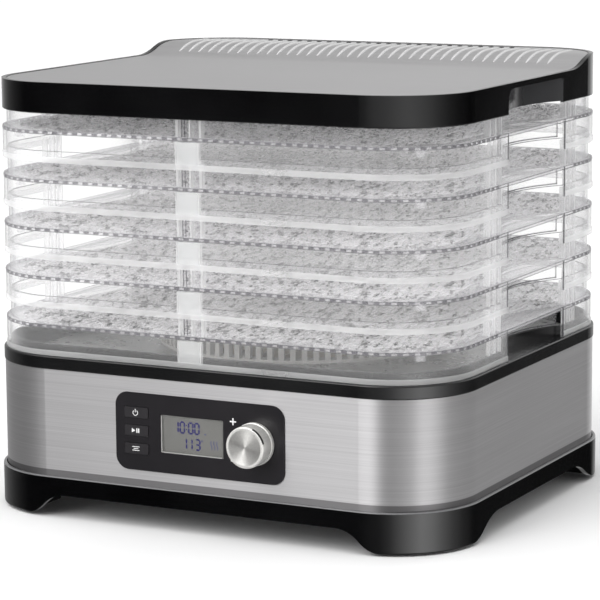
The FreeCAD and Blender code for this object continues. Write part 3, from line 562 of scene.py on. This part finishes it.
def tray_walls(b):
    """Upper wall round the food, and the panel that hangs from it in each side gap."""
    t = WALL_THICK
    wall = [(0, PLATE_HIGH - 0.1), (t, PLATE_HIGH - 0.1), (t, WALL_TOP - 0.3), (t - 0.3, WALL_TOP),
            (0.3, WALL_TOP), (0, WALL_TOP - 0.3)]
    b.sweep(wall_loop(), wall, True, [ON_WALL] * 2 + [ON_EDGE] * 3 + [ON_WALL])
    hang = [(0, HANG_LOW + 0.9), (0, HANG_LOW + 0.2), (0.2, HANG_LOW), (t - 0.2, HANG_LOW),
            (t, HANG_LOW + 0.2), (t, PLATE_LOW + 0.1), (0, PLATE_LOW + 0.1)]
    for side in (-1, 1):
        b.sweep(pocket_arc(side, GAP_HALF, 0), hang, False, [ON_EDGE] * 4 + [ON_SKIRT] * 3, ON_EDGE)


def tray_tabs(b):
    """Locating tabs in the skirt, each with a raised line along both sides."""
    for side in (-1, 1):
        y0, y1 = mirrored(side, TRAY_D / 2 - 2.4, TRAY_D / 2 - 0.05)
        b.block(TAB_X - TAB_HALF, TAB_X + TAB_HALF, y0, y1, BEAD, PLATE_LOW - 0.7, ON_FROST)
        for x in (TAB_X - TAB_LINE, TAB_X + TAB_LINE):
            b.block(x - 0.35, x + 0.35, y0 - 0.1, y1 + 0.1, BEAD - 0.2, PLATE_LOW - 0.5, ON_BEAD)


def tray_ribs(b):
    """Upright ribs above the tabs and beside the side gaps."""
    line = RIB_OUT + 0.5
    for step, half, depth, mat in ((-7.6, 0.8, RIB_IN, ON_BEAD), (-4.6, 0.2, line, ON_DASH),
                                   (-2.6, 0.2, line, ON_DASH), (0.6, 0.5, RIB_IN, ON_BEAD),
                                   (4.0, 0.5, RIB_IN, ON_PLATE), (7.4, 0.8, RIB_IN, ON_BEAD)):
        x = TAB_X + step
        for side in (-1, 1):
            y0, y1 = mirrored(side, TRAY_D / 2 - RIB_OUT, TRAY_D / 2 - depth)
            b.block(x - half, x + half, y0, y1, RIB_LOW, RIB_HIGH, mat)
    for k in range(5):
        half, mat = (0.15, ON_PLATE) if k % 2 else (0.6, ON_BEAD)
        past = GAP_HALF + 6 + 4 * k
        for y in (GAP_Y - past, GAP_Y + past):
            for side in (-1, 1):
                for z0, z1, d0, d1 in ((RIB_LOW, RIB_HIGH, RIB_OUT, RIB_IN),
                                       (PLATE_LOW - 9.5, PLATE_LOW, 2.2, 4.2)):
                    x0, x1 = mirrored(side, TRAY_W / 2 - d0, TRAY_W / 2 - d1)
                    b.block(x0, x1, y - half, y + half, z0, z1, mat)


def tray_pegs(b):
    """Small crossed stacking pegs in the corners under the plate."""
    for sx in (-1, 1):
        for sy in (-1, 1):
            x, y = sx * (TRAY_W / 2 - 21), sy * (TRAY_D / 2 - 21)
            for hx, hy in ((3.2, 0.6), (0.6, 3.2)):
                b.block(x - hx, x + hx, y - hy, y + hy, PLATE_LOW - 4.5, PLATE_LOW, ON_PLATE)


def tray_frame():
    b = Build()
    for shape in (tray_skirt, tray_floor_rim, tray_plate, tray_walls, tray_tabs, tray_ribs, tray_pegs):
        shape(b)
    return b


# ---- tray mesh floors ---------------------------------------------------------------------------
STRAND_PITCH = 4.35
STRAND_OVERLAP = 0.6
STRAND_WIDTHS = (1.5, 0.9)
ROW_LEVEL, ROW_HEIGHTS = PLATE_LOW + 0.3, (1.0, 0.8)
COLUMN_LEVEL, COLUMN_HEIGHT = PLATE_LOW + 0.9, 1.1
DOT_LEVEL = PLATE_LOW + 1.9


def strand(b, p, q, z, wide, high):
    """Flat-bottomed strand with a rounded top from p to q."""
    dx, dy = q[0] - p[0], q[1] - p[1]
    length = math.hypot(dx, dy)
    nx, ny = -dy / length * wide / 2, dx / length * wide / 2
    section = ((-1, 0), (-1, high * 0.6), (-0.45, high), (0.45, high), (1, high * 0.6), (1, 0))
    verts = [(x + nx * s, y + ny * s, z + dz) for x, y in (p, q) for s, dz in section]
    b.add(verts, rings(2, 6) + caps(2, 6))


def dot(b, x, y, z):
    """Low four-sided stud."""
    verts = [(x + s * u, y + s * v, z + h) for s, h in ((1.15, 0), (0.85, 0.55))
             for u, v in ((1, 0), (0, 1), (-1, 0), (0, -1))] + [(x, y, z + 0.8)]
    b.add(verts, rings(2, 4) + [[4 + k, 4 + (k + 1) % 4, 8] for k in range(4)] + [[3, 2, 1, 0]])


def tray_net():
    """Two layers of strands, every other one heavy, with a raised dot on every other crossing."""
    b = Build()
    w, d, r = FIELD_PLAN
    pocket = POCKET_R + FIELD_GROW

    def reach_x(y):
        """Half width of the field at y, up to the pockets."""
        x = reach((d, w, r), y)
        if abs(y - GAP_Y) < pocket:
            x = min(x, POCKET_CX - math.sqrt(pocket * pocket - (y - GAP_Y) ** 2))
        return x

    rows, columns = ([k * STRAND_PITCH for k in range(-n, n + 1)]
                     for n in (int(size / 2 / STRAND_PITCH) for size in (d, w)))
    for i, y in enumerate(rows):
        x = reach_x(y) + STRAND_OVERLAP
        strand(b, (-x, y), (x, y), ROW_LEVEL, STRAND_WIDTHS[i % 2], ROW_HEIGHTS[i % 2])
    for i, x in enumerate(columns):
        y = reach(FIELD_PLAN, x) + STRAND_OVERLAP
        cut = math.sqrt(max(pocket * pocket - (POCKET_CX - abs(x)) ** 2, 0))
        for y0, y1 in ((-y, GAP_Y - cut), (GAP_Y + cut, y)) if cut else ((-y, y),):
            if y1 > y0:
                strand(b, (x, y0), (x, y1), COLUMN_LEVEL, STRAND_WIDTHS[i % 2], COLUMN_HEIGHT)
    for i, y in enumerate(rows):
        for j, x in enumerate(columns):
            if (i + j) % 2 == 0 and abs(x) <= reach_x(y) - 1.5:
                dot(b, x, y, DOT_LEVEL)
    return b


frame_proto = tray_frame().make("tray_1_walls", TRAY_SHADERS)
net_proto = tray_net().make("tray_1_net", [NET], angle=50)
for i, level in enumerate(TRAY_LEVELS):
    for proto, tail in ((frame_proto, "walls"), (net_proto, "net")):
        obj = proto if i == 0 else link_object("tray_%d_%s" % (i + 1, tail), proto.data)
        obj.location.z = level * MM
        obj.visible_shadow = False
        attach(obj, "tray_body_%d" % (i + 1))
    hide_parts("tray_%d" % (i + 1))
    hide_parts("tray_%d_mesh" % (i + 1))


# ---- lid ribs and exhaust collars ---------------------------------------------------------------
RAMP_START = 60.0
RAMP_END = 100.0
RAMP_RISE = 7.4
LID_PITCH = 7.1

# the ribs stay inside this rounded rectangle of (width, depth, corner radius)
LID_RIB_FIELD = (284.0, 252.0, 40.0)
LID_RIB_COUNT = 37
LID_RIB_FRONT = 76.0
LID_RIB_REAR = 118.5
LID_RIB_STEPS = 12
LID_RIB_HALF = 1.25

VENT_COUNT = 25
VENT_Y = 122.0
VENT_SIDES = 12


def lid_height(y):
    """Height of the lid's plate at y, the same two arcs as the plate."""
    low = LID_TOP - RAMP_RISE
    if y <= RAMP_START:
        return low
    if y >= RAMP_END:
        return LID_TOP
    half_u, half_v = (RAMP_END - RAMP_START) / 2, RAMP_RISE / 2
    r = (half_u ** 2 + half_v ** 2) / (2 * half_v)
    if y < RAMP_START + half_u:
        return low + r - math.sqrt(r * r - (y - RAMP_START) ** 2)
    return LID_TOP - r + math.sqrt(r * r - (RAMP_END - y) ** 2)


def lid_ribs():
    """Rounded ribs that climb the lid's ramp, tapered at both ends."""
    b = Build()
    section = ((-1, -0.25), (-0.8, 0.45), (-0.35, 0.85), (0.35, 0.85), (0.8, 0.45), (1, -0.25))
    for k in range(LID_RIB_COUNT):
        x = (k - LID_RIB_COUNT // 2) * LID_PITCH
        rear = min(LID_RIB_REAR, reach(LID_RIB_FIELD, x))
        if rear < LID_RIB_FRONT + 6:
            continue
        verts = []
        for i in range(LID_RIB_STEPS + 1):
            y = LID_RIB_FRONT + (rear - LID_RIB_FRONT) * i / LID_RIB_STEPS
            grow = (0.35, 0.8, 1.0)[min(i, LID_RIB_STEPS - i, 2)]
            verts += [(x + u * LID_RIB_HALF * grow, y, lid_height(y) + (v if v < 0 else v * grow))
                      for u, v in section]
        count, n = LID_RIB_STEPS + 1, len(section)
        b.add(verts, rings(count, n) + caps(count, n))
    return b.make("lid_ribs", [RIB], angle=60)


def vent_collars():
    """Low dark collars round the row of exhaust holes behind the ribs."""
    b = Build()
    section = ((1.3, -1.0), (1.3, 0.35), (1.65, 0.35), (1.75, 0.0))
    for k in range(VENT_COUNT):
        x = (k - VENT_COUNT // 2) * LID_PITCH
        turns = [2 * math.pi * i / VENT_SIDES for i in range(VENT_SIDES)]
        verts = [(x + r * math.cos(a), VENT_Y + r * math.sin(a), LID_TOP + h)
                 for r, h in section for a in turns]
        b.add(verts, rings(len(section), VENT_SIDES, closed=True))
    return b.make("vent_collars", [SATIN_BLACK], angle=60)


for obj, slot in ((lid_ribs(), "brushed_steel"), (vent_collars(), "satin_black")):
    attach(obj, "lid")


# ---- control panel ------------------------------------------------------------------------------
LCD_BOX = box_mm("lcd_window")
LCD_X = middle(LCD_BOX, 0)
LCD_Z = middle(LCD_BOX, 2)
KNOB_BOX = box_mm("control_knob")
KNOB_X = middle(KNOB_BOX, 0)
KNOB_Z = middle(KNOB_BOX, 2)

# marks start this far inside the face that carries them, and stand this far out
SINK = 0.02
MARK_THICK = 0.08
PANEL_MARK_Y = box_mm("control_panel")[0][1] - CENTRE_Y + SINK
KEY_MARK_Y = box_mm("power_button")[0][1] - CENTRE_Y + SINK
GLASS_MARK_Y = LCD_BOX[1][1] - CENTRE_Y + 0.07
GLASS_THICK = 0.04

SEGMENTS = {"0": "abcdef", "1": "bc", "3": "abgcd"}
SEGMENT_WIDTH = 1.05
SEGMENT_GAP = 0.08


def decal(b, outline, y, thick):
    """Thin raised mark from an outline of (x, z) points, its back at y."""
    n = len(outline)
    b.add([(x, at, z) for at in (y, y - thick) for x, z in outline], caps(2, n) + rings(2, n))


def bar(x0, x1, z0, z1):
    return [(x0, z0), (x1, z0), (x1, z1), (x0, z1)]


def ring_mark(b, cx, cz, r_out, r_in, a0, a1, y, thick, n):
    """Arc-shaped mark, made of n short flat runs."""
    turns = [math.radians(a0 + (a1 - a0) * i / n) for i in range(n + 1)]
    for p, q in zip(turns[:-1], turns[1:]):
        decal(b, [(cx + r * math.cos(a), cz + r * math.sin(a))
                  for r, a in ((r_in, p), (r_out, p), (r_out, q), (r_in, q))], y, thick)


def digit(b, char, x, z, w, h):
    """Seven-segment digit, its lower left corner at x, z."""
    g, k = SEGMENT_GAP, SEGMENT_WIDTH / 2
    spots = {"a": (x, z + h, 1), "g": (x, z + h / 2, 1), "d": (x, z, 1),
             "f": (x, z + h / 2, 0), "b": (x + w, z + h / 2, 0), "e": (x, z, 0), "c": (x + w, z, 0)}
    for segment in SEGMENTS[char]:
        sx, sz, flat = spots[segment]
        if flat:
            a, e = sx + g, sx + w - g
            outline = [(a, sz), (a + k, sz - k), (e - k, sz - k), (e, sz), (e - k, sz + k), (a + k, sz + k)]
        else:
            a, e = sz + g, sz + h / 2 - g
            outline = [(sx, a), (sx + k, a + k), (sx + k, e - k), (sx, e), (sx - k, e - k), (sx - k, a + k)]
        decal(b, outline, GLASS_MARK_Y, GLASS_THICK)


def write(b, text, x, z, height, advance):
    """Row of digits; advance says how far each character moves on the next one."""
    for char in text:
        if char == ":":
            for low in (z + 1.8, z + 4.2):
                decal(b, bar(x - 0.35, x + 0.35, low, low + 0.7), GLASS_MARK_Y, GLASS_THICK)
        else:
            digit(b, char, x, z, 1.2 if char == "1" else 2.7, height)
        x += advance[char]


def lcd_digits():
    b = Build()
    write(b, "10:00", LCD_X - 10.6, LCD_Z + 1.6, 6.2, {"1": 2.6, "0": 4.0, ":": 1.5})
    write(b, "113", LCD_X - 5.2, LCD_Z - 7.6, 6.0, {"1": 3.6, "3": 3.6})
    return b.make("lcd_digits", [DIGIT])


def lcd_marks():
    """Small degree ring, dash and three wavy lines beside the digits."""
    b = Build()
    ring_mark(b, LCD_X + 6.2, LCD_Z - 2.2, 0.65, 0.35, 0, 360, GLASS_MARK_Y, GLASS_THICK, 10)
    decal(b, bar(LCD_X + 7.6, LCD_X + 8.8, LCD_Z + 1.6, LCD_Z + 2.2), GLASS_MARK_Y, GLASS_THICK)
    for k in range(3):
        x = LCD_X + 12.2 + k * 1.9
        wave = [(x + 0.45 * math.sin(q * 1.05), LCD_Z - 6.6 + q * 0.85) for q in range(7)]
        for (xa, za), (xb, zb) in zip(wave[:-1], wave[1:]):
            decal(b, [(xa - 0.22, za), (xa + 0.22, za), (xb + 0.22, zb), (xb - 0.22, zb)], GLASS_MARK_Y,
                  GLASS_THICK)
    return b.make("lcd_marks", [GHOST])


def lcd_bezel():
    """Light edge along the bottom and the left of the display."""
    b = Build()
    (x0, _, z0), (x1, _, z1) = LCD_BOX
    outer, inner = (bar(x0 + inset, x1 - inset, z0 + inset, z1 - inset) for inset in (0.30, 0.75))
    for i, j in ((0, 1), (3, 0)):
        decal(b, [outer[i], outer[j], inner[j], inner[i]], PANEL_MARK_Y, 0.12)
    return b.make("lcd_bezel", [BEZEL])


def power_icon(b, x, z):
    ring_mark(b, x, z - 0.2, 1.75, 1.35, 125, 415, KEY_MARK_Y, MARK_THICK, 20)
    decal(b, bar(x - 0.2, x + 0.2, z + 0.1, z + 2.1), KEY_MARK_Y, MARK_THICK)


def start_icon(b, x, z):
    """Triangle and two bars."""
    decal(b, [(x - 2.5, z - 1.3), (x - 0.2, z), (x - 2.5, z + 1.3)], KEY_MARK_Y, MARK_THICK)
    for left in (x + 0.5, x + 1.7):
        decal(b, bar(left, left + 0.75, z - 1.3, z + 1.3), KEY_MARK_Y, MARK_THICK)


def set_icon(b, x, z):
    """Three lines, the middle one shorter."""
    for k, half in enumerate((2.4, 1.6, 2.4)):
        low = z - 1.25 + k * 1.05
        decal(b, bar(x - half, x + half, low, low + 0.4), KEY_MARK_Y, MARK_THICK)


def panel_signs():
    """Plus above and minus below, left of the knob."""
    b = Build()
    x, z = KNOB_X - 14.0, KNOB_Z + 11.4
    a, h = 2.0, 0.4
    plus = [(-a, -h), (-h, -h), (-h, -a), (h, -a), (h, -h), (a, -h), (a, h), (h, h), (h, a), (-h, a), (-h, h),
            (-a, h)]
    decal(b, [(x + u, z + v) for u, v in plus], PANEL_MARK_Y, MARK_THICK)
    decal(b, bar(x - 1.7, x + 1.7, KNOB_Z - 11.8, KNOB_Z - 11.1), PANEL_MARK_Y, MARK_THICK)
    return b.make("panel_signs", [MARK])


for obj in (lcd_digits(), lcd_marks(), lcd_bezel()):
    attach(obj, "base")

for key, draw in (("power", power_icon), ("start", start_icon), ("set", set_icon)):
    key_box = box_mm(key + "_button")
    icon = Build()
    draw(icon, middle(key_box, 0) - 0.6, middle(key_box, 2))
    obj = icon.make(key + "_icon", [MARK])
    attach(obj, key + "_key")

signs = panel_signs()
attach(signs, "base")


# ---- knob ---------------------------------------------------------------------------------------
KNOB_FRONT = KNOB_BOX[0][1] - CENTRE_Y
KNOB_DEPTH = KNOB_BOX[1][1] - KNOB_BOX[0][1]
KNOB_R = 12.0
KNOB_SIDES = 120
KNURL = 0.09
FACE_RINGS = 3
SLIT_STEPS = 16


def knob():
    """Turned metal knob: dished spun face, bright chamfer, fine straight knurl and a base collar."""
    b = Build()
    section = [(0.01, 0.35), (3, 0.32), (7, 0.2), (10.2, 0.1), (10.9, 0.0), (11.3, 0.05), (11.9, 0.6),
               (KNOB_R, 0.9), (KNOB_R, KNOB_DEPTH - 2.6), (11.7, KNOB_DEPTH - 2.3), (12.3, KNOB_DEPTH - 2.0),
               (12.4, KNOB_DEPTH - 1.7), (12.4, KNOB_DEPTH), (4.0, KNOB_DEPTH)]
    verts = []
    for radius, depth in section:
        for i in range(KNOB_SIDES):
            a = 2 * math.pi * i / KNOB_SIDES
            r = radius - KNURL if i % 2 and radius == KNOB_R else radius
            verts.append((KNOB_X + r * math.cos(a), KNOB_FRONT + depth, KNOB_Z + r * math.sin(a)))
    # the back stays open round the shaft
    faces = rings(len(section), KNOB_SIDES) + [list(range(KNOB_SIDES))]
    face_count = FACE_RINGS * KNOB_SIDES
    b.add(verts, faces, [0] * face_count + [1] * (len(faces) - 1 - face_count) + [0])
    return b.make("knob_turned", [KNOB_FACE, KNOB_SIDE], angle=35)


def knob_slit():
    """Dark slit along the corner between the knob's face and its side."""
    b = Build()
    section = ((11.75, 0.35), (12.12, 0.75), (12.12, 1.7), (11.6, 1.7))
    verts = []
    for i in range(SLIT_STEPS + 1):
        a = math.radians(15 + 52 * i / SLIT_STEPS)
        verts += [(KNOB_X + r * math.cos(a), KNOB_FRONT + depth, KNOB_Z + r * math.sin(a))
                  for r, depth in section]
    b.add(verts, rings(SLIT_STEPS + 1, len(section)) + caps(SLIT_STEPS + 1, len(section)))
    return b.make("knob_slit", [SATIN_BLACK])


slit = knob_slit()
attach(slit, "knob")
knob_obj = knob()
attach(knob_obj, "knob")
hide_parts("control_knob")


# ---- floor --------------------------------------------------------------------------------------
FLOOR_HALF = 30
floor_mesh = bpy.data.meshes.new("studio_floor")
floor_corners = [(x * FLOOR_HALF, y * FLOOR_HALF, 0) for x, y in ((-1, -1), (1, -1), (1, 1), (-1, 1))]
floor_mesh.from_pydata(floor_corners, [], [(0, 1, 2, 3)])
floor = link_object("studio_floor", floor_mesh)
floor.visible_glossy = False
paper = Shader("paper")
paper.set(Base_Color=paper.ramp(paper.noise(3.0, 4.0), [(NOISE_RANGE[0], (0.93, 0.93, 0.93)),
                                                        (NOISE_RANGE[1], (0.95, 0.95, 0.95))]),
          Roughness=0.9, Specular_IOR_Level=0.1)
floor_mesh.materials.append(paper.mat)

# ---- surroundings -------------------------------------------------------------------------------
# what each kind of surface reflects, from low to high directions: stops of (azimuth, brightness), where
# azimuth 0 is in front and 90 to the right
GROUND_BAND = [(-180, 0.4), (-40, 0.3), (-24, 0.45), (6, 0.2), (50, 0.2), (70, 0.8), (100, 0.35), (165, 0.6),
               (180, 0.5)]
FOOT_BAND = [(-180, 0.5), (-100, 0.3), (-60, 0.01), (-20, 0.01), (4, 0.15), (17, 0.6), (30, 1.8), (57, 4.5),
             (70, 3.7), (85, 2.1), (101, 0.9), (118, 0.3), (138, 0.03), (165, 0.02), (180, 0.5)]
LID_BAND = [(-180, 1.2), (-150, 0.9), (-100, 0.3), (-60, 0.02), (-26, 0.03), (-18, 0.22), (-10, 0.55),
            (4, 0.9), (28, 1.3), (42, 1.4), (57, 1.1), (70, 0.9), (85, 0.55), (101, 0.26), (118, 0.10),
            (140, 0.02), (159, 0.02), (168, 0.8), (180, 1.2)]
UPPER_BAND = [(-180, 0.9), (-120, 0.35), (-60, 0.6), (-40, 0.72), (-31, 0.85), (-25, 2.5), (-4, 2.5),
              (4, 0.22), (48, 0.13), (58, 1.0), (84, 1.1), (96, 0.6), (150, 0.9), (165, 1.4), (180, 1.0)]
# each change from one band to the next: where it starts and ends, as the height of a unit direction
BAND_CHANGES = [(-0.34, -0.28, FOOT_BAND), (-0.20, -0.14, LID_BAND), (-0.05, 0.08, UPPER_BAND)]

world = bpy.data.worlds.new("studio")
bpy.context.scene.world = world
world.use_nodes = True
sky = Nodes(world.node_tree)
sky.tree.nodes.clear()
direction = sky.node("SeparateXYZ", {"Vector": sky.node("TexCoord").outputs["Generated"]}).outputs
azimuth = sky.math("ARCTAN2", direction["X"], sky.math("MULTIPLY", direction["Y"], -1))
turn = sky.map_range(azimuth, (-math.pi, math.pi), 0.0, 1.0)


def band(stops):
    return sky.ramp(turn, [((az + 180) / 360, (v, v, v)) for az, v in stops])


around = band(GROUND_BAND)
for z0, z1, stops in BAND_CHANGES:
    share = sky.map_range(direction["Z"], (z0, z1), 0.0, 1.0, "SMOOTHSTEP")
    around = sky.mix(share, around, band(stops))
reflected = sky.node("Background", {"Color": around, "Strength": 0.9})
backdrop = sky.node("Background", {"Color": (1, 1, 1, 1), "Strength": 1.0})
seen = sky.node("LightPath").outputs["Is Camera Ray"]
either = sky.node("MixShader", {0: seen, 1: reflected.outputs[0], 2: backdrop.outputs[0]})
sky.node("OutputWorld", {"Surface": either.outputs[0]})

# ---- lights -------------------------------------------------------------------------------------
MIDDLE = Vector((0.0, CENTRE_Y * MM, 0.12))
FRONT_BOX_AT = Vector((-0.9, -2.4, 1.5))
front_light = bpy.data.lights.new("front_box", "AREA")
front_light.shape = "RECTANGLE"
front_light.size, front_light.size_y = 1.6, 1.2
front_light.energy = 14
front_box = link_object("front_box", front_light)
front_box.location = FRONT_BOX_AT
front_box.rotation_euler = (MIDDLE - FRONT_BOX_AT).to_track_quat("-Z", "Y").to_euler()

sun_light = bpy.data.lights.new("soft_sun", "SUN")
sun_light.energy = 1.5
sun_light.angle = math.radians(75)
link_object("soft_sun", sun_light).rotation_euler = (math.radians(12), math.radians(-10), 0)

# ---- camera, from the fit to the photograph's outlines ------------------------------------------
CAMERA_AT = Vector((0.75208, -1.48125 + CENTRE_Y * MM, 0.39651))
LOOK_AT = Vector((0.0, CENTRE_Y * MM, 0.1157))
ROLL = math.radians(-0.36)
camera_data = bpy.data.cameras.new("camera")
camera_data.lens = 165.6
camera_data.sensor_width = 36.0
camera_data.shift_x = -0.0067
camera_data.clip_end = 200
camera = link_object("camera", camera_data)
back = (CAMERA_AT - LOOK_AT).normalized()
right = Vector((0, 0, 1)).cross(back).normalized()
upward = back.cross(right)
right, upward = (right * math.cos(ROLL) + upward * math.sin(ROLL),
                 upward * math.cos(ROLL) - right * math.sin(ROLL))
turned = Matrix((right, upward, back)).transposed().to_4x4()
turned.translation = CAMERA_AT
camera.matrix_world = turned
bpy.context.scene.camera = camera
bpy.context.scene.view_settings.view_transform = "Standard"
# a ray passes through many clear walls
bpy.context.scene.cycles.transparent_max_bounces = 48
